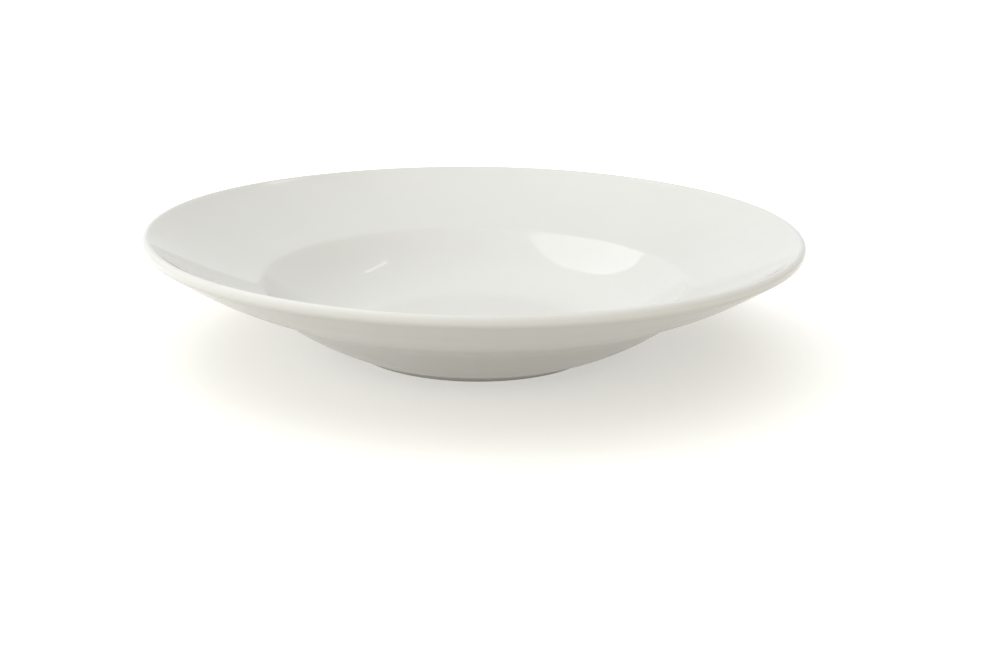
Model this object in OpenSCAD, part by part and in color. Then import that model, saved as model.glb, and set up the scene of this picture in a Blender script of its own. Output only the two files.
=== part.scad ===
// Pasta bowl: a wide dished rim around a shallow well, fired in one piece.
// The porcelain is the load-bearing piece. The glaze lies on it as a thin coat that ends at the foot ring,
// whose standing edge is bare, and a second patch of glaze closes the recess inside the foot.
// All pieces are turned about Z. The bowl stands on z = 0 with its axis at the origin.

/* [Bowl] */
// Outside diameter over the lip
rim_d = 270; // [255:1:290]
// Height from the table to the top of the lip
bowl_h = 51.2; // [48:0.2:56]

/* [Lip and rim] */
// Width of the rounded lip, seen from above
lip_w = 4.2; // [3.8:0.1:5.4]
// Thickness of the rounded lip, from its underside to its top
lip_t = 4.8; // [4.7:0.1:5.8]
// Thickness of the rim where it meets the lip
rim_t = 4.5; // [3.6:0.1:4.6]
// Sag of the dished rim below a straight slope
rim_sag = 1.9; // [1:0.1:3]

/* [Well] */
// Diameter of the well at its upper edge
well_d = 177; // [168:1:186]
// Height of the well's upper edge above the table
well_edge_h = 29.4; // [27:0.2:32]
// Slope of the well's wall at its upper edge, in degrees
well_slope = 42; // [40:0.5:46]
// Radius of the curve of the well's wall, seen in section
well_curve_r = 113.5; // [105:0.5:125]
// Height of the well's floor above the table
floor_h = 8; // [7.2:0.1:9]
// Radius that blends the floor into the wall, seen in section
floor_blend_r = 60; // [30:1:75]
// Rounding of the well's upper edge
well_edge_r = 8; // [4:0.5:16]

/* [Wall] */
// Thickness of the wall and of the base
wall_t = 5.8; // [4.6:0.1:6.2]
// Rounding of the hollow corner under the rim
under_corner_r = 6; // [3:0.5:14]

/* [Foot ring] */
// Diameter of the middle of the foot ring
foot_d = 101; // [98:0.5:108]
// Width of the foot ring at its widest
foot_w = 5.2; // [4.6:0.1:6.4]
// Height of the foot ring's widest place above the table
foot_mid_h = 1.9; // [1.4:0.1:2.1]

/* [Glaze] */
// Thickness of the glaze
glaze_t = 0.3; // [0.2:0.05:0.6]
// Height of the bare standing edge that the glaze leaves free
bare_h = 0.8; // [0.5:0.1:1.2]

/* [Hidden] */
$fn = 360;

porcelain_tone = "#e9e4d8";
glaze_tone = "#f4f3ee";

// How far cutting shapes reach past what they cut
overrun = 2;

// How much larger a rounding arc is than one that only touches its two neighbours
touch_lap = 0.01;

// Hairline between the porcelain and its glaze, which keeps either from biting into the other
bond_gap = 0.01;

// Places in the half section, as [distance from the axis, height]
lip_mid = [(rim_d - lip_w) / 2, bowl_h - lip_t / 2];
well_edge = [well_d / 2, well_edge_h];
foot_mid = [foot_d / 2, foot_mid_h];
base_h = floor_h - wall_t;

// Plane geometry
function unit(v) = v / norm(v);
function left_of(v) = [-v[1], v[0]];
function uphill(a) = [cos(a), sin(a)];

// Radius of the arc over the chord from p to q that sags by s
function sag_radius(p, q, s) = (norm(q - p) ^ 2 / 4 + s ^ 2) / (2 * s);

// Centre of that arc, on the upper side of the chord
function sag_centre(p, q, s) = (p + q) / 2 + left_of(unit(q - p)) * (sag_radius(p, q, s) - s);

// Where two circles cross, on the right of the way from the first centre to the second
function crossing(c1, r1, c2, r2) =
    let (d = norm(c2 - c1), along = (d ^ 2 + r1 ^ 2 - r2 ^ 2) / (2 * d))
    c1 + unit(c2 - c1) * along - left_of(unit(c2 - c1)) * sqrt(r1 ^ 2 - along ^ 2);

// Point at the distance r from c on the way to p
function towards(c, r, p) = c + unit(p - c) * r;

// Upper side of the rim: from the well's edge to a place just above the middle of the lip
rim_normal = left_of(unit(lip_mid - well_edge));
rim_top_end = lip_mid + rim_normal * rim_t / 2;
rim_top_r = sag_radius(well_edge, rim_top_end, rim_sag);
rim_top_c = sag_centre(well_edge, rim_top_end, rim_sag);

// Underside of the rim: the wall's thickness below the well's edge, the rim's thickness at the lip
rim_low_start = towards(rim_top_c, rim_top_r + wall_t, well_edge);
rim_low_end = lip_mid - rim_normal * rim_t / 2;
rim_low_r = sag_radius(rim_low_start, rim_low_end, rim_sag);
rim_low_c = sag_centre(rim_low_start, rim_low_end, rim_sag);

// Wall of the well: the inner and the outer side share their centre
wall_out_r = well_curve_r + wall_t;
wall_c = well_edge + left_of(uphill(well_slope)) * well_curve_r;

// Centres of the roundings: the well's edge, the hollow corner under the rim, the floor's blend
edge_c = crossing(wall_c, well_curve_r + well_edge_r, rim_top_c, rim_top_r + well_edge_r);
under_c = crossing(wall_c, wall_out_r + under_corner_r, rim_low_c, rim_low_r + under_corner_r);
blend_h = floor_h + floor_blend_r;
blend_x = wall_c[0] + sqrt((well_curve_r - floor_blend_r) ^ 2 - (wall_c[1] - blend_h) ^ 2);
blend_c = [blend_x, blend_h];

// Where the floor and the wall would meet without their blend
floor_corner = [wall_c[0] + sqrt(well_curve_r ^ 2 - (wall_c[1] - floor_h) ^ 2), floor_h];

// Filled disc around c
module disc(c, r) {
    translate(c)
        circle(r);
}

// Filled oval of the lip. g is how far its surface is moved in
module lip_oval(g) {
    half_w = lip_w / 2 - g;
    half_t = lip_t / 2 - g;
    translate(lip_mid)
        scale([1, half_t / half_w])
            circle(half_w);
}

// What a rounding arc around c with radius r leaves between itself and the points given
module corner_piece(c, r, points) {
    difference() {
        polygon(concat([c], points));
        disc(c, r + touch_lap);
    }
}

// All air above the bowl. g is how far the surface lies below the finished one
module air_above(g) {
    rounding = well_edge_r - g;
    reach = well_edge_r + wall_t;
    intersection() {
        disc(wall_c, well_curve_r + g);
        translate([0, floor_h - g])
            square([rim_d, bowl_h]);
    }
    disc(rim_top_c, rim_top_r + g);
    corner_piece(edge_c, rounding, [
        towards(edge_c, reach, rim_top_c),
        towards(edge_c, reach, wall_c)
    ]);
}

// Material between the floor and the wall that rounds the corner of the well
module floor_blend(g) {
    reach = floor_blend_r + wall_t / 2;
    corner_reach = norm(floor_corner - blend_c) + wall_t / 4;
    corner_piece(blend_c, floor_blend_r + g, [
        [blend_x, blend_h - reach],
        towards(blend_c, corner_reach, floor_corner),
        wall_c + unit(blend_c - wall_c) * (well_curve_r + wall_t / 2)
    ]);
}

// Everything above the underside of the wall and the rim. g is how far the surface is moved in
module above_underside(g) {
    reach = under_corner_r + wall_t / 2;
    disc(wall_c, wall_out_r - g);
    disc(rim_low_c, rim_low_r - g);
    corner_piece(under_c, under_corner_r + g, [
        towards(under_c, reach, rim_low_c),
        towards(under_c, reach, wall_c)
    ]);
}

// The space from the table up to the lip, as far out as the rim reaches into the lip
module rim_window() {
    polygon([
        [0, 0],
        [lip_mid[0], 0],
        lip_mid - rim_normal * lip_t,
        lip_mid + rim_normal * (lip_t / 2 / rim_normal[1]),
        [0, bowl_h]
    ]);
}

// Half section of the bowl with its surface moved in by g
module bowl_section(g) {
    difference() {
        intersection() {
            above_underside(g);
            rim_window();
        }
        air_above(g);
        translate([0, -overrun])
            square([foot_mid[0], base_h + g + overrun]);
    }
    floor_blend(g);
    lip_oval(g);
    intersection() {
        disc(foot_mid, foot_w / 2 - g);
        translate([foot_mid[0] - foot_w, 0])
            square([2 * foot_w, floor_h]);
    }
}

// Half section of all the glaze
module glaze_section() {
    difference() {
        bowl_section(0);
        bowl_section(glaze_t - bond_gap);
        translate([0, -overrun])
            square([rim_d, bare_h + overrun]);
    }
}

// The space under the base, inside the foot ring
module recess_window() {
    square([foot_mid[0], base_h + wall_t / 2]);
}

// Fired body of the bowl, from the lip to the bare standing edge
module porcelain_body() {
    color(porcelain_tone)
        rotate_extrude()
            bowl_section(glaze_t);
}

// Glaze over the well, the rim, the lip and the whole underside down to the bare edge
module glaze_coat() {
    color(glaze_tone)
        rotate_extrude()
            difference() {
                glaze_section();
                recess_window();
            }
}

// Glaze in the recess inside the foot ring
module base_glaze() {
    color(glaze_tone)
        rotate_extrude()
            intersection() {
                glaze_section();
                recess_window();
            }
}

porcelain_body();
glaze_coat();
base_glaze();
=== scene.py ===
"""Pasta bowl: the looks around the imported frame. Metres, +Z up, the bowl stands on z = 0."""
import math

import bpy
from mathutils import Matrix, Vector


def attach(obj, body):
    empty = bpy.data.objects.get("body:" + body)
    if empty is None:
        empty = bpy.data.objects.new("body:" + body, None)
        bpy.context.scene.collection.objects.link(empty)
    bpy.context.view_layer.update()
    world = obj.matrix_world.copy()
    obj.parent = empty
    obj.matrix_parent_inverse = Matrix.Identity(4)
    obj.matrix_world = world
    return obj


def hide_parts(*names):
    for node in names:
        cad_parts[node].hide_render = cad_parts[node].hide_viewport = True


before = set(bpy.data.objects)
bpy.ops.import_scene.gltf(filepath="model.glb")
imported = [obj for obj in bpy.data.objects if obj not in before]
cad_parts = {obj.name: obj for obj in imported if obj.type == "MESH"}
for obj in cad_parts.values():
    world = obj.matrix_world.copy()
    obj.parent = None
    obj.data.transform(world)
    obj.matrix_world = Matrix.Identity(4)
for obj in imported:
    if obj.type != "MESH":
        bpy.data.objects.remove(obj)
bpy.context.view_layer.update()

MM = 0.001
TAU = 2.0 * math.pi
TINY = 1e-6

# Sizes of the bowl in millimetres, as in the part's source
RIM_D = 270.0
BOWL_H = 51.2
LIP_W = 4.2
LIP_T = 4.8
RIM_T = 4.5
RIM_SAG = 1.9
WELL_D = 177.0
WELL_EDGE_H = 29.4
WELL_SLOPE = 42.0
WELL_CURVE_R = 113.5
FLOOR_H = 8.0
FLOOR_BLEND_R = 60.0
WELL_EDGE_R = 8.0
WALL_T = 5.8
UNDER_CORNER_R = 6.0
FOOT_D = 101.0
FOOT_W = 5.2
FOOT_MID_H = 1.9
GLAZE_T = 0.3
BARE_H = 0.8

# Sag of the fired rim in millimetres, its azimuth and its reach to each side in degrees
RIM_DROP = 0.6
RIM_DROP_AT = 124.0
RIM_DROP_SPAN = 54.0
# How far the wall's underside lies off the axis towards +X, over what lengths that fades, and
# how far outside the well's edge it ends
UNDERSIDE_SHIFT = 0.8
SHIFT_FADE_IN = 10.0
SHIFT_FADE_OUT = 18.0
SHIFT_END = 14.0

# How far the glaze softens, in millimetres along the section: sharp corners, the well's curve,
# the hollow under the rim and the corner of the recess
CORNER_SOFT = 0.55
WELL_SOFT = 4.0
HOLLOW_SOFT = 4.0
RECESS_SOFT = 0.6
# The least jump of direction that counts as a sharp corner, in degrees
SHARP = 4.0
# How far softening reaches, in multiples of the lengths above, and how it fades
SOFT_REACH = 4.0
SOFT_FADE = 0.7
SOFT_LEAST = 0.02

# How finely the surfaces are cut: points around the axis, on the lip's oval and on the base,
# and millimetres along the section
AROUND = 360
LIP_STEPS = 720
BASE_STEPS = 24
FINE_STEP = 0.05
# How many degrees of bend and how many millimetres may lie between two points of a mesh: on faces
# that show, on the back of the glaze, on the porcelain and on the back of the recess
FACE_CUT = (4.0, 2.0)
GLAZE_BACK_CUT = (8.0, 4.0)
PORCELAIN_CUT = (6.0, 3.0)
RECESS_BACK_CUT = (6.0, 2.0)

# Direction out of the rim at the lip, in degrees above the table
LIP_OUTWARD = 27.0


# Plane geometry in the half section: x is the distance from the axis, y the height

def vec(x, y):
    return Vector((x, y))


def unit(v):
    return v / v.length


def left_of(v):
    return Vector((-v.y, v.x))


def uphill(degrees):
    a = math.radians(degrees)
    return Vector((math.cos(a), math.sin(a)))


def sag_radius(p, q, s):
    """Radius of the arc over the chord from p to q that sags by s."""
    return ((q - p).length_squared / 4 + s * s) / (2 * s)


def sag_centre(p, q, s):
    """Centre of that arc, on the upper side of the chord."""
    return (p + q) / 2 + left_of(unit(q - p)) * (sag_radius(p, q, s) - s)


def crossing(c1, r1, c2, r2, side=-1.0):
    """Where two circles cross, right of the way from c1 to c2, or left of it with side 1."""
    d = (c2 - c1).length
    forward = (d * d + r1 * r1 - r2 * r2) / (2 * d)
    off = math.sqrt(max(r1 * r1 - forward * forward, 0.0))
    return c1 + unit(c2 - c1) * forward + left_of(unit(c2 - c1)) * off * side


def towards(c, r, p):
    """Point at the distance r from c on the way to p."""
    return c + unit(p - c) * r


LIP_MID = vec((RIM_D - LIP_W) / 2, BOWL_H - LIP_T / 2)
WELL_EDGE = vec(WELL_D / 2, WELL_EDGE_H)
FOOT_MID = vec(FOOT_D / 2, FOOT_MID_H)
BASE_H = FLOOR_H - WALL_T
RIM_NORMAL = left_of(unit(LIP_MID - WELL_EDGE))
RIM_TOP_END = LIP_MID + RIM_NORMAL * RIM_T / 2
RIM_TOP_R = sag_radius(WELL_EDGE, RIM_TOP_END, RIM_SAG)
RIM_TOP_C = sag_centre(WELL_EDGE, RIM_TOP_END, RIM_SAG)
RIM_LOW_START = towards(RIM_TOP_C, RIM_TOP_R + WALL_T, WELL_EDGE)
RIM_LOW_END = LIP_MID - RIM_NORMAL * RIM_T / 2
RIM_LOW_R = sag_radius(RIM_LOW_START, RIM_LOW_END, RIM_SAG)
RIM_LOW_C = sag_centre(RIM_LOW_START, RIM_LOW_END, RIM_SAG)
WALL_OUT_R = WELL_CURVE_R + WALL_T
WALL_C = WELL_EDGE + left_of(uphill(WELL_SLOPE)) * WELL_CURVE_R
EDGE_C = crossing(WALL_C, WELL_CURVE_R + WELL_EDGE_R, RIM_TOP_C, RIM_TOP_R + WELL_EDGE_R)
UNDER_C = crossing(WALL_C, WALL_OUT_R + UNDER_CORNER_R, RIM_LOW_C, RIM_LOW_R + UNDER_CORNER_R)
BLEND_H = FLOOR_H + FLOOR_BLEND_R
BLEND_X = WALL_C.x + math.sqrt((WELL_CURVE_R - FLOOR_BLEND_R) ** 2 - (WALL_C.y - BLEND_H) ** 2)
BLEND_C = vec(BLEND_X, BLEND_H)


def angle_of(c, p):
    return math.atan2(p.y - c.y, p.x - c.x)


def arc(c, r, p, q, turn):
    """Points on the circle around c from p to q, anticlockwise with turn 1, clockwise with -1."""
    a, b = angle_of(c, p), angle_of(c, q)
    if turn > 0 and b < a:
        b += TAU
    if turn < 0 and b > a:
        b -= TAU
    n = max(2, int(abs(b - a) * r / FINE_STEP))
    angles = [a + (b - a) * i / n for i in range(n + 1)]
    return [vec(c.x + r * math.cos(t), c.y + r * math.sin(t)) for t in angles]


def lip_points(g):
    """The lip's oval, anticlockwise from its innermost point, moved in by g."""
    hw, ht = LIP_W / 2 - g, LIP_T / 2 - g
    angles = [TAU * i / LIP_STEPS for i in range(LIP_STEPS)]
    return [vec(LIP_MID.x - hw * math.cos(t), LIP_MID.y - ht * math.sin(t)) for t in angles]


def lip_arc(g):
    """The part of the lip's oval outside the rim, from the rim's upper side to its underside."""
    pts = lip_points(g)
    n = len(pts)

    def outside(p):
        above = (p - RIM_TOP_C).length < RIM_TOP_R + g
        below = (p - RIM_LOW_C).length > RIM_LOW_R - g
        return above or below or (p - LIP_MID).dot(uphill(LIP_OUTWARD)) > 0

    flags = [outside(p) for p in pts]
    start = next(i for i in range(n) if flags[i] and not flags[i - 1])
    ring = [pts[(start + k) % n] for k in range(n) if flags[(start + k) % n]]
    ring.reverse()
    return ring


def surface(g):
    """The outline moved in by g, from the middle of the well over the lip to the foot ring."""
    wall_low = WALL_C + unit(BLEND_C - WALL_C) * (WELL_CURVE_R + g)
    n = int(BLEND_C.x / FINE_STEP)
    path = [vec(BLEND_C.x * i / n, FLOOR_H - g) for i in range(n)]
    path += arc(BLEND_C, FLOOR_BLEND_R + g, vec(BLEND_C.x, 0), wall_low, 1)
    path += arc(WALL_C, WELL_CURVE_R + g, wall_low, EDGE_C, 1)
    path += arc(EDGE_C, WELL_EDGE_R - g, WALL_C, RIM_TOP_C, -1)
    lip = lip_arc(g)
    path += arc(RIM_TOP_C, RIM_TOP_R + g, EDGE_C, lip[0], 1)
    path += lip
    path += arc(RIM_LOW_C, RIM_LOW_R - g, lip[-1], UNDER_C, -1)
    path += arc(UNDER_C, UNDER_CORNER_R + g, RIM_LOW_C, WALL_C, 1)
    foot_top = crossing(WALL_C, WALL_OUT_R - g, FOOT_MID, FOOT_W / 2 - g, 1.0)
    path += arc(WALL_C, WALL_OUT_R - g, UNDER_C, foot_top, -1)
    return path, foot_top


def lengths(path):
    """How far along the path each of its points lies."""
    total = [0.0]
    for a, b in zip(path, path[1:]):
        total.append(total[-1] + (b - a).length)
    return total


def along(path, place):
    """How far along the path its point nearest to a place lies."""
    s = lengths(path)
    return s[min(range(len(path)), key=lambda i: (path[i] - place).length)]


def corners(path):
    """Where along the path its direction jumps by more than SHARP degrees."""
    s = lengths(path)
    found = []
    for i in range(1, len(path) - 1):
        u, v = path[i] - path[i - 1], path[i + 1] - path[i]
        if u.length > TINY and v.length > TINY and abs(math.degrees(u.angle(v))) > SHARP:
            found.append(s[i])
    return found


def even(path):
    """The path resampled at FINE_STEP."""
    s = lengths(path)
    n = max(2, round(s[-1] / FINE_STEP))
    out, k = [], 0
    for i in range(n + 1):
        t = s[-1] * i / n
        while k < len(s) - 2 and s[k + 1] < t:
            k += 1
        span = s[k + 1] - s[k]
        f = 0.0 if span < TINY else (t - s[k]) / span
        out.append(path[k].lerp(path[k + 1], min(max(f, 0.0), 1.0)))
    return out


def soften(path, places, sigma):
    """Rounds an even path near the given places, as glaze fills a corner."""
    s = lengths(path)
    step = s[1] - s[0]
    out = []
    for i, p in enumerate(path):
        near = min((abs(s[i] - c) for c in places), default=math.inf)
        if near > SOFT_REACH * sigma:
            out.append(p)
            continue
        fade = math.cos(min(near / (SOFT_REACH * sigma), 1.0) * math.pi / 2) ** SOFT_FADE
        w = sigma * max(SOFT_LEAST, fade)
        half = int(3 * w / step)
        weights, acc = 0.0, vec(0.0, 0.0)
        for k in range(-half, half + 1):
            j = min(max(i + k, 0), len(path) - 1)
            f = math.exp(-0.5 * (k * step / w) ** 2)
            acc += path[j] * f
            weights += f
        out.append(acc / weights)
    return out


def thin(path, max_turn, max_step):
    """Keeps few points: a new one after max_turn degrees of bend or max_step millimetres."""
    keep = [path[0]]
    turned, gone = 0.0, 0.0
    for i in range(1, len(path) - 1):
        u, v = path[i] - path[i - 1], path[i + 1] - path[i]
        gone += u.length
        if u.length > TINY and v.length > TINY:
            turned += abs(math.degrees(u.angle(v)))
        if turned >= max_turn or gone >= max_step:
            keep.append(path[i])
            turned, gone = 0.0, 0.0
    keep.append(path[-1])
    return keep


def smoothstep(a, b, x):
    t = min(max((x - a) / (b - a), 0.0), 1.0)
    return t * t * (3 - 2 * t)


def drop(r, a):
    """How far the fired rim sags at radius r and azimuth a, in millimetres."""
    off = abs((math.degrees(a) - RIM_DROP_AT + 180.0) % 360.0 - 180.0)
    if off >= RIM_DROP_SPAN:
        return 0.0
    depth = RIM_DROP * smoothstep(WELL_D / 2, RIM_D / 2, r)
    return depth * math.cos(math.pi / 2 * off / RIM_DROP_SPAN) ** 2


def underside_shift(p):
    """How far a half section point moves towards +X: only the wall's underside does."""
    in_wall = (p - WALL_C).length < WELL_CURVE_R + WALL_T / 2
    in_rim = (p - RIM_TOP_C).length < RIM_TOP_R + WALL_T / 2
    if in_wall or in_rim:
        return 0.0
    foot_side = FOOT_MID.x + FOOT_W
    rim_side = WELL_EDGE.x + SHIFT_END
    rise = smoothstep(foot_side, foot_side + SHIFT_FADE_IN, p.x)
    return UNDERSIDE_SHIFT * rise * smoothstep(rim_side, rim_side - SHIFT_FADE_OUT, p.x)


def turned(name, path):
    """A solid of revolution from half section points that start and end on the axis."""
    verts, faces, rows = [], [], []
    for p in path:
        if p.x < TINY:
            rows.append([len(verts)])
            verts.append((0.0, 0.0, p.y * MM))
            continue
        rows.append(list(range(len(verts), len(verts) + AROUND)))
        shift = underside_shift(p)
        for k in range(AROUND):
            a = TAU * k / AROUND
            x, y = p.x * math.cos(a) + shift, p.x * math.sin(a)
            verts.append((x * MM, y * MM, (p.y - drop(p.x, a)) * MM))
    for this, then in zip(rows, rows[1:]):
        for k in range(AROUND):
            m = (k + 1) % AROUND
            if len(this) == 1 and len(then) == 1:
                continue
            if len(this) == 1:
                faces.append((this[0], then[k], then[m]))
            elif len(then) == 1:
                faces.append((this[k], then[0], this[m]))
            else:
                faces.append((this[k], then[k], then[m], this[m]))
    mesh = bpy.data.meshes.new(name)
    mesh.from_pydata(verts, [], faces)
    mesh.polygons.foreach_set("use_smooth", [True] * len(mesh.polygons))
    mesh.update()
    obj = bpy.data.objects.new(name, mesh)
    bpy.context.scene.collection.objects.link(obj)
    return obj


def on_foot(r, height, side):
    """Where the foot ring's circle of radius r has a height. side is 1 outside, -1 inside."""
    rise = height - FOOT_MID_H
    return FOOT_MID + vec(side * math.sqrt(r ** 2 - rise ** 2), rise)


def outer_path():
    """The glaze's outer side down to its end at the foot ring, softened where two surfaces meet."""
    path, foot_top = surface(0.0)
    path += arc(FOOT_MID, FOOT_W / 2, foot_top, on_foot(FOOT_W / 2, BARE_H, 1), -1)
    fine = even(path)
    fine = soften(fine, corners(fine), CORNER_SOFT)
    floor_end = vec(BLEND_C.x, FLOOR_H)
    wall_low = towards(WALL_C, WELL_CURVE_R, BLEND_C)
    fine = soften(fine, [along(fine, floor_end), along(fine, wall_low)], WELL_SOFT)
    hollow = UNDER_C + unit(unit(RIM_LOW_C - UNDER_C) + unit(WALL_C - UNDER_C)) * UNDER_CORNER_R
    return soften(fine, [along(fine, hollow)], HOLLOW_SOFT)


FOOT_R = FOOT_W / 2
CORE_R = FOOT_R - GLAZE_T
ROOF_H = BASE_H + GLAZE_T
ROOF_END = on_foot(CORE_R, ROOF_H, -1)
ROOF = [vec(ROOF_END.x * f, ROOF_H) for f in (0.75, 0.5, 0.25, 0.0)]


def build_glaze():
    """The glaze from the well over the lip to the outside of the foot, and its back."""
    outer = thin(outer_path(), *FACE_CUT)
    inner, foot_top = surface(GLAZE_T)
    inner += arc(FOOT_MID, CORE_R, foot_top, on_foot(CORE_R, BARE_H, 1), -1)
    inner = thin(even(inner), *GLAZE_BACK_CUT)
    middle = outer[-1].lerp(inner[-1], 0.5)
    return turned("bowl_glaze", outer + [middle] + inner[::-1])


def build_porcelain():
    """The fired body, with the flat standing edge and the roof of the recess."""
    path, foot_top = surface(GLAZE_T)
    land_out, land_in = on_foot(CORE_R, 0.0, 1), on_foot(CORE_R, 0.0, -1)
    path += arc(FOOT_MID, CORE_R, foot_top, land_out, -1)
    ring = arc(FOOT_MID, CORE_R, land_in, ROOF_END, -1)
    body = thin(even(path), *PORCELAIN_CUT)
    return turned("bowl_porcelain", body + thin(even(ring), *FACE_CUT) + ROOF)


def build_recess():
    """The patch of glaze in the recess, from its middle out to the bare edge, and its back."""
    base_end, bare_end = on_foot(FOOT_R, BASE_H, -1), on_foot(FOOT_R, BARE_H, -1)
    face = [vec(base_end.x * i / BASE_STEPS, BASE_H) for i in range(BASE_STEPS)]
    face += arc(FOOT_MID, FOOT_R, base_end, bare_end, 1)
    fine = even(face)
    fine = soften(fine, corners(fine), RECESS_SOFT)
    rear = arc(FOOT_MID, CORE_R, on_foot(CORE_R, BARE_H, -1), ROOF_END, -1)
    back = thin(even(rear), *RECESS_BACK_CUT)
    return turned("recess_glaze", thin(fine, *FACE_CUT) + back + ROOF)


glaze, porcelain, recess = build_glaze(), build_porcelain(), build_recess()
for piece, node, slot in (
    (glaze, "glaze_coat", "glaze"),
    (porcelain, "porcelain_body", "porcelain"),
    (recess, "base_glaze", "glaze"),
):
    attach(piece, "root")
    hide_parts(node)


# Helpers for the materials

def socket(tree, target, value):
    """Sets a socket to a number, or links it."""
    if isinstance(value, bpy.types.NodeSocket):
        tree.links.new(value, target)
    else:
        target.default_value = value


def math_node(tree, operation, *values):
    node = tree.nodes.new("ShaderNodeMath")
    node.operation = operation
    for target, value in zip(node.inputs, values):
        socket(tree, target, value)
    return node.outputs[0]


def times(tree, a, b):
    return math_node(tree, "MULTIPLY", a, b)


def noise(tree, where, scale, detail=2.0, roughness=0.5, distortion=0.0):
    node = tree.nodes.new("ShaderNodeTexNoise")
    socket(tree, node.inputs["Vector"], where)
    node.inputs["Scale"].default_value = scale
    node.inputs["Detail"].default_value = detail
    node.inputs["Roughness"].default_value = roughness
    node.inputs["Distortion"].default_value = distortion
    return node.outputs["Fac"]


def stretched(tree, where, scale):
    node = tree.nodes.new("ShaderNodeMapping")
    socket(tree, node.inputs["Vector"], where)
    node.inputs["Scale"].default_value = scale
    return node.outputs["Vector"]


def ramp(tree, fac, low, high, a=0.0, b=1.0):
    """Maps fac from low..high to a..b, smoothly and clamped."""
    node = tree.nodes.new("ShaderNodeMapRange")
    node.interpolation_type = "SMOOTHSTEP"
    socket(tree, node.inputs["Value"], fac)
    for name, value in (("From Min", low), ("From Max", high), ("To Min", a), ("To Max", b)):
        socket(tree, node.inputs[name], value)
    return node.outputs["Result"]


def mix(tree, fac, a, b):
    """Colour a where fac is 0 and colour b where it is 1."""
    node = tree.nodes.new("ShaderNodeMix")
    node.data_type = "RGBA"
    socket(tree, node.inputs[0], fac)
    for index, value in ((6, a), (7, b)):
        colour = value if isinstance(value, bpy.types.NodeSocket) else (*value, 1.0)
        socket(tree, node.inputs[index], colour)
    return node.outputs[2]


def bump(tree, height, distance, normal=None):
    node = tree.nodes.new("ShaderNodeBump")
    node.inputs["Distance"].default_value = distance
    socket(tree, node.inputs["Height"], height)
    if normal is not None:
        socket(tree, node.inputs["Normal"], normal)
    return node.outputs["Normal"]


def material(name):
    m = bpy.data.materials.new(name)
    m.use_nodes = True
    tree = m.node_tree
    tree.nodes.clear()
    out = tree.nodes.new("ShaderNodeOutputMaterial")
    shader = tree.nodes.new("ShaderNodeBsdfPrincipled")
    tree.links.new(shader.outputs["BSDF"], out.inputs["Surface"])
    where = tree.nodes.new("ShaderNodeTexCoord").outputs["Object"]
    return m, tree, shader, where


def radius_and_height(tree, where):
    """Distance from the bowl's axis and height above the table, in metres."""
    parts = tree.nodes.new("ShaderNodeSeparateXYZ")
    socket(tree, parts.inputs[0], where)
    x, y, z = parts.outputs
    squares = math_node(tree, "ADD", times(tree, x, x), times(tree, y, y))
    return math_node(tree, "SQRT", squares), z


def upward(tree):
    """How far the surface faces up: 1 for a floor, 0 for a wall, -1 for a ceiling."""
    parts = tree.nodes.new("ShaderNodeSeparateXYZ")
    socket(tree, parts.inputs[0], tree.nodes.new("ShaderNodeNewGeometry").outputs["Normal"])
    return parts.outputs[2]


def rings(tree, where, period):
    """Concentric waves about Z, as the turning tool leaves them."""
    node = tree.nodes.new("ShaderNodeTexWave")
    node.wave_type = "RINGS"
    node.rings_direction = "Z"
    socket(tree, node.inputs["Vector"], where)
    node.inputs["Scale"].default_value = TAU / (20.0 * period)
    node.inputs["Distortion"].default_value = 0.6
    node.inputs["Detail"].default_value = 1.0
    node.inputs["Detail Scale"].default_value = 0.4
    return node.outputs["Fac"]


def specks(tree, where, cell, size, share, soft=0.35):
    """Sparse round dots: one at most in a cell, in the given share of the cells."""
    node = tree.nodes.new("ShaderNodeTexVoronoi")
    socket(tree, node.inputs["Vector"], where)
    node.inputs["Scale"].default_value = 1.0 / cell
    dot = ramp(tree, node.outputs["Distance"], size / cell * (1.0 - soft), size / cell, 1.0, 0.0)
    pick = tree.nodes.new("ShaderNodeSeparateColor")
    socket(tree, pick.inputs[0], node.outputs["Color"])
    return times(tree, dot, math_node(tree, "LESS_THAN", pick.outputs[0], share))


# Glaze

WHITE_DIM, WHITE_LIGHT = (0.792, 0.792, 0.778), (0.810, 0.809, 0.798)
CREAM = (0.786, 0.783, 0.762)
# Painted highlight: a lighter white laid on the top of the lip
LIP_TOP_PAINTED_HIGHLIGHT = (0.828, 0.824, 0.812)
# Painted light: a lighter white laid on the well's floor and lower wall where they face up
WELL_FLOOR_PAINTED_LIGHT = (0.866, 0.864, 0.850)
POOL_TONE = (0.735, 0.748, 0.725)
SPECK_TONE = (0.30, 0.26, 0.20)
FAINT_TONE = (0.62, 0.60, 0.54)
MARK_TONE = (0.52, 0.52, 0.52)

# Relief in metres: waves of the skin, turning rings and their distance, orange peel, pits
WAVE_DEPTH = 0.00007
RING_DEPTH = 0.0000030
RING_PERIOD = 0.0052
PEEL_DEPTH = 0.0000050
PIT_DEPTH = 0.00004


def cutlery_marks(tree, where, flat, height):
    """Grey marks that cutlery leaves on the well's floor and in its corner."""
    above_floor = ramp(tree, height, (FLOOR_H - 0.6) * MM, (FLOOR_H - 0.1) * MM)
    in_well = times(tree, ramp(tree, flat, 80.0 * MM, 50.0 * MM), above_floor)
    lines = noise(tree, stretched(tree, where, (30.0, 900.0, 60.0)), 1.0, 2.0, 0.5, 0.4)
    crossed = noise(tree, stretched(tree, where, (760.0, 42.0, 60.0)), 1.0, 2.0, 0.5, 0.5)
    lines = ramp(tree, lines, 0.73, 0.79)
    crossed = ramp(tree, crossed, 0.735, 0.79)
    return times(tree, math_node(tree, "MAXIMUM", lines, crossed), in_well)


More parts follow.
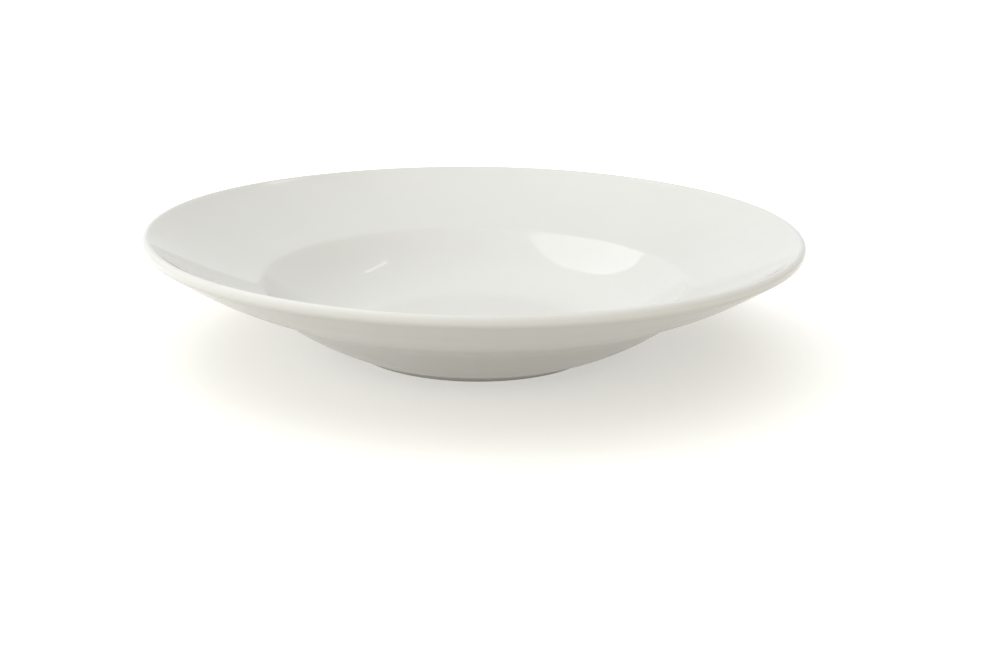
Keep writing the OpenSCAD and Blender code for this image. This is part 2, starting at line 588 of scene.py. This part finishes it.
def glaze_tone(tree, where, flat, height, facing, dark, marks):
    """Drifting warm white, with a painted highlight on the lip's top and painted light low in the
    well, greyer at the foot.
    """
    cloud = noise(tree, where, 16.0, 3.0, 0.55)
    fine_cloud = noise(tree, where, 95.0, 3.0, 0.6)
    tone = mix(tree, ramp(tree, cloud, 0.32, 0.68), WHITE_DIM, WHITE_LIGHT)
    tone = mix(tree, ramp(tree, fine_cloud, 0.35, 0.75, 0.0, 0.35), tone, CREAM)
    # Painted highlight: the top of the lip is made lighter
    lip_top_highlight = ramp(tree, height, (BOWL_H - 2.0) * MM, BOWL_H * MM)
    tone = mix(tree, times(tree, lip_top_highlight, 0.35), tone, LIP_TOP_PAINTED_HIGHLIGHT)
    # Painted light: faces that look up, low in the well, are made lighter
    low_down = ramp(tree, height, (FLOOR_H + 16.0) * MM, (FLOOR_H + 2.0) * MM)
    well_floor_painted_light = times(tree, ramp(tree, facing, 0.2, 0.5), low_down)
    tone = mix(tree, times(tree, well_floor_painted_light, 0.8), tone, WELL_FLOOR_PAINTED_LIGHT)
    at_foot = ramp(tree, flat, (FOOT_MID.x - 3.5) * MM, FOOT_MID.x * MM)
    pool = times(tree, ramp(tree, height, 7.5 * MM, 3.0 * MM), at_foot)
    tone = mix(tree, times(tree, pool, 0.45), tone, POOL_TONE)
    tone = mix(tree, times(tree, dark, 0.75), tone, SPECK_TONE)
    faint = specks(tree, where, 0.0061, 0.00025, 0.16, 0.7)
    tone = mix(tree, times(tree, faint, 0.22), tone, FAINT_TONE)
    return mix(tree, times(tree, marks, 0.10), tone, MARK_TONE)


def glaze_roughness(tree, where, flat, facing, dark, marks):
    """Smooth gloss, duller in marks and specks and under the bowl, where the coat is thinner."""
    rough = ramp(tree, noise(tree, where, 42.0, 4.0, 0.6), 0.3, 0.75, 0.035, 0.065)
    inside_lip = ramp(tree, flat, (RIM_D / 2 - 7.0) * MM, (RIM_D / 2 - 17.0) * MM)
    below = times(tree, ramp(tree, facing, -0.1, -0.5), inside_lip)
    for place, more in ((marks, 0.16), (dark, 0.2), (below, 0.20)):
        rough = math_node(tree, "ADD", rough, times(tree, place, more))
    return rough


def glaze_normal(tree, where, dark, marks):
    """A wavy skin with faint turning rings, a fine orange peel and pits in the specks and marks."""
    normal = bump(tree, noise(tree, where, 26.0, 1.0, 0.4), WAVE_DEPTH)
    normal = bump(tree, rings(tree, where, RING_PERIOD), RING_DEPTH, normal)
    normal = bump(tree, noise(tree, where, 520.0, 2.0, 0.5), PEEL_DEPTH, normal)
    holes = math_node(tree, "MAXIMUM", dark, times(tree, marks, 0.3))
    return bump(tree, math_node(tree, "SUBTRACT", 1.0, holes), PIT_DEPTH, normal)


def glaze_material():
    m, tree, shader, where = material("glaze")
    flat, height = radius_and_height(tree, where)
    facing = upward(tree)
    dark = specks(tree, where, 0.019, 0.00042, 0.07)
    marks = cutlery_marks(tree, where, flat, height)
    tone = glaze_tone(tree, where, flat, height, facing, dark, marks)
    rough = glaze_roughness(tree, where, flat, facing, dark, marks)
    socket(tree, shader.inputs["Base Color"], tone)
    socket(tree, shader.inputs["Roughness"], rough)
    socket(tree, shader.inputs["Normal"], glaze_normal(tree, where, dark, marks))
    shader.inputs["IOR"].default_value = 1.5
    return m


# Bare porcelain

BISQUE_DIM, BISQUE_LIGHT = (0.735, 0.695, 0.620), (0.795, 0.765, 0.700)
GRAIN_TONE = (0.66, 0.62, 0.545)
SCUFF_TONE = (0.44, 0.425, 0.40)
IRON_TONE = (0.36, 0.29, 0.21)

# Relief in metres: the grain and the wider unevenness below it
GRAIN_DEPTH = 0.00006
UNEVEN_DEPTH = 0.00008


def bisque_material():
    """Bare fired porcelain on the standing edge: grainy and dull, scuffed grey where it slides."""
    m, tree, shader, where = material("bisque")
    height = radius_and_height(tree, where)[1]
    grain = noise(tree, where, 1500.0, 4.0, 0.65)
    cloud = noise(tree, where, 70.0, 4.0, 0.6)
    tone = mix(tree, ramp(tree, cloud, 0.3, 0.7), BISQUE_DIM, BISQUE_LIGHT)
    tone = mix(tree, ramp(tree, grain, 0.35, 0.72, 0.0, 0.5), tone, GRAIN_TONE)
    land = ramp(tree, height, 0.35 * MM, 0.0)
    streaks = noise(tree, stretched(tree, where, (420.0, 90.0, 90.0)), 1.0, 4.0, 0.65)
    scuff = times(tree, ramp(tree, streaks, 0.46, 0.68), land)
    tone = mix(tree, times(tree, scuff, 0.65), tone, SCUFF_TONE)
    iron = specks(tree, where, 0.0042, 0.00022, 0.2)
    tone = mix(tree, times(tree, iron, 0.6), tone, IRON_TONE)
    socket(tree, shader.inputs["Base Color"], tone)
    socket(tree, shader.inputs["Roughness"], ramp(tree, grain, 0.3, 0.7, 0.70, 0.93))
    normal = bump(tree, grain, GRAIN_DEPTH)
    normal = bump(tree, noise(tree, where, 340.0, 2.0, 0.5), UNEVEN_DEPTH, normal)
    socket(tree, shader.inputs["Normal"], normal)
    return m


glaze_mat = glaze_material()
glaze.data.materials.append(glaze_mat)
recess.data.materials.append(glaze_mat)
porcelain.data.materials.append(bisque_material())

# Camera at the photograph's viewing angle, whose centre AIM lies at AIM_PX in the frame
LENS_PX = 1386.5
FRAME_W = 1000
SENSOR = 36.0
ELEVATION = math.radians(13.79)
ROLL = math.radians(0.75)
DISTANCE = 0.5805
AIM = Vector((0.0, 0.0, 0.0405))
AIM_PX = (475.4, 249.2)
MID_PX = (500.0, 333.5)


def photo_camera():
    """Looks from the front at ELEVATION, rolled by ROLL, panned and tilted as in the photo."""
    back = Vector((0.0, -math.cos(ELEVATION), math.sin(ELEVATION)))
    up = Vector((0.0, math.sin(ELEVATION), math.cos(ELEVATION)))
    right = Vector((1.0, 0.0, 0.0))
    pan = math.atan2(AIM_PX[0] - MID_PX[0], LENS_PX)
    tilt = math.atan2(MID_PX[1] - AIM_PX[1], LENS_PX)
    view = Matrix((right, up, back))
    roll_m = Matrix.Rotation(-ROLL, 3, "Z")
    pan_m = Matrix.Rotation(-pan, 3, "Y")
    tilt_m = Matrix.Rotation(tilt, 3, "X")
    data = bpy.data.cameras.new("camera")
    data.sensor_fit = "HORIZONTAL"
    data.sensor_width = SENSOR
    data.lens = LENS_PX / FRAME_W * SENSOR
    data.clip_start = 0.01
    camera = bpy.data.objects.new("camera", data)
    turn = (tilt_m @ pan_m @ roll_m @ view).transposed()
    camera.matrix_world = Matrix.Translation(AIM + back * DISTANCE) @ turn.to_4x4()
    bpy.context.scene.collection.objects.link(camera)
    bpy.context.scene.camera = camera


photo_camera()

# Floor and world: white to the camera and in the gloss, plainly lit for everything else.
# The floor's glow is FLOOR_LIFT under the bowl and full from LIFT_TO metres off the axis.
FLOOR_HALF = 4.0
FLOOR_TONE = (0.62, 0.61, 0.565)
FLOOR_LIFT = 0.46
LIFT_FROM, LIFT_TO = 0.085, 0.25
AMBIENT = (0.34, 0.32, 0.25)


def seen(tree):
    """1 for rays from the camera, off gloss and through glass, 0 for diffuse light."""
    path = tree.nodes.new("ShaderNodeLightPath")
    both = math_node(tree, "MAXIMUM", path.outputs["Is Camera Ray"], path.outputs["Is Glossy Ray"])
    return math_node(tree, "MAXIMUM", both, path.outputs["Is Transmission Ray"])


def floor_material():
    m, tree, shader, where = material("floor")
    shader.inputs["Base Color"].default_value = (*FLOOR_TONE, 1)
    shader.inputs["Roughness"].default_value = 0.95
    shader.inputs["Specular IOR Level"].default_value = 0.0
    shader.inputs["Emission Color"].default_value = (1, 1, 1, 1)
    flat = radius_and_height(tree, where)[0]
    lift = ramp(tree, flat, LIFT_FROM, LIFT_TO, FLOOR_LIFT, 1.0)
    socket(tree, shader.inputs["Emission Strength"], times(tree, lift, seen(tree)))
    return m


def build_floor():
    mesh = bpy.data.meshes.new("floor")
    h = FLOOR_HALF
    mesh.from_pydata([(-h, -h, 0), (h, -h, 0), (h, h, 0), (-h, h, 0)], [], [(0, 1, 2, 3)])
    mesh.materials.append(floor_material())
    floor = bpy.data.objects.new("floor", mesh)
    bpy.context.scene.collection.objects.link(floor)


def build_world():
    world = bpy.data.worlds.new("studio")
    bpy.context.scene.world = world
    world.use_nodes = True
    tree = world.node_tree
    background = tree.nodes["Background"]
    socket(tree, background.inputs["Color"], mix(tree, seen(tree), AMBIENT, (1, 1, 1)))
    background.inputs["Strength"].default_value = 1.0


build_floor()
build_world()

# Soft lamps around the bowl: azimuth from +X, elevation, width, height, colour, radiance
CENTRE = Vector((0.0, 0.0, 0.03))
LAMP_DISTANCE = 1.3
LAMPS = (
    ("left_low", 191, 17, 1.08, 0.70, (0.99, 1.00, 1.00), 2.0),
    ("front_left_low", 236, 17, 1.08, 0.70, (1.00, 0.99, 0.97), 1.15),
    ("front_right_low", 318, 17, 1.08, 0.70, (1.00, 0.97, 0.90), 1.3),
    ("left_high", 180, 44, 0.72, 1.05, (0.96, 0.98, 1.00), 1.3),
    ("front_left_high", 225, 50, 0.72, 0.72, (0.90, 0.94, 1.00), 0.55),
    ("front_right_high", 305, 50, 0.72, 0.72, (0.96, 0.98, 1.00), 0.85),
    ("back_left_high", 135, 50, 0.72, 0.72, (0.86, 0.92, 1.00), 0.4),
    ("back_high", 80, 50, 0.72, 0.72, (0.87, 0.91, 1.00), 0.35),
    ("top", 90, 90, 1.30, 1.30, (0.76, 0.84, 1.00), 0.6),
)


def area_lamp(name, width, height, colour, radiance, shape="RECTANGLE"):
    data = bpy.data.lights.new(name, "AREA")
    data.shape = shape
    data.size, data.size_y = width, height
    area = width * height * (math.pi / 4 if shape == "ELLIPSE" else 1.0)
    data.energy = radiance * math.pi * area
    data.color = colour
    lamp = bpy.data.objects.new(name, data)
    bpy.context.scene.collection.objects.link(lamp)
    return lamp


for name, azimuth, elevation, width, height, colour, radiance in LAMPS:
    a, e = math.radians(azimuth), math.radians(elevation)
    away = Vector((math.cos(e) * math.cos(a), math.cos(e) * math.sin(a), math.sin(e)))
    lamp = area_lamp(name, width, height, colour, radiance)
    lamp.location = CENTRE + away * LAMP_DISTANCE
    lamp.rotation_euler = (-away).to_track_quat("-Z", "Y").to_euler()
    # These stand behind wide diffusers, so their outlines don't show in the gloss
    lamp.visible_glossy = False

# The long oval softbox overhead at the back left, whose reflection lies on the well's wall
softbox = area_lamp("softbox", 0.48, 1.80, (0.97, 0.98, 1.00), 1.45, "ELLIPSE")
softbox.location = (-0.757, 0.711, 1.5)
softbox.rotation_euler = (0.0, 0.0, math.radians(20.0))
# The narrow strip whose glint crosses the well's left wall
strip = area_lamp("strip", 0.035, 0.42, (1, 1, 1), 2.0)
strip.location = (0.566, 0.88, 1.5)
strip.rotation_euler = (0.0, 0.0, math.radians(-10.8))

bpy.context.scene.view_settings.view_transform = "Standard"
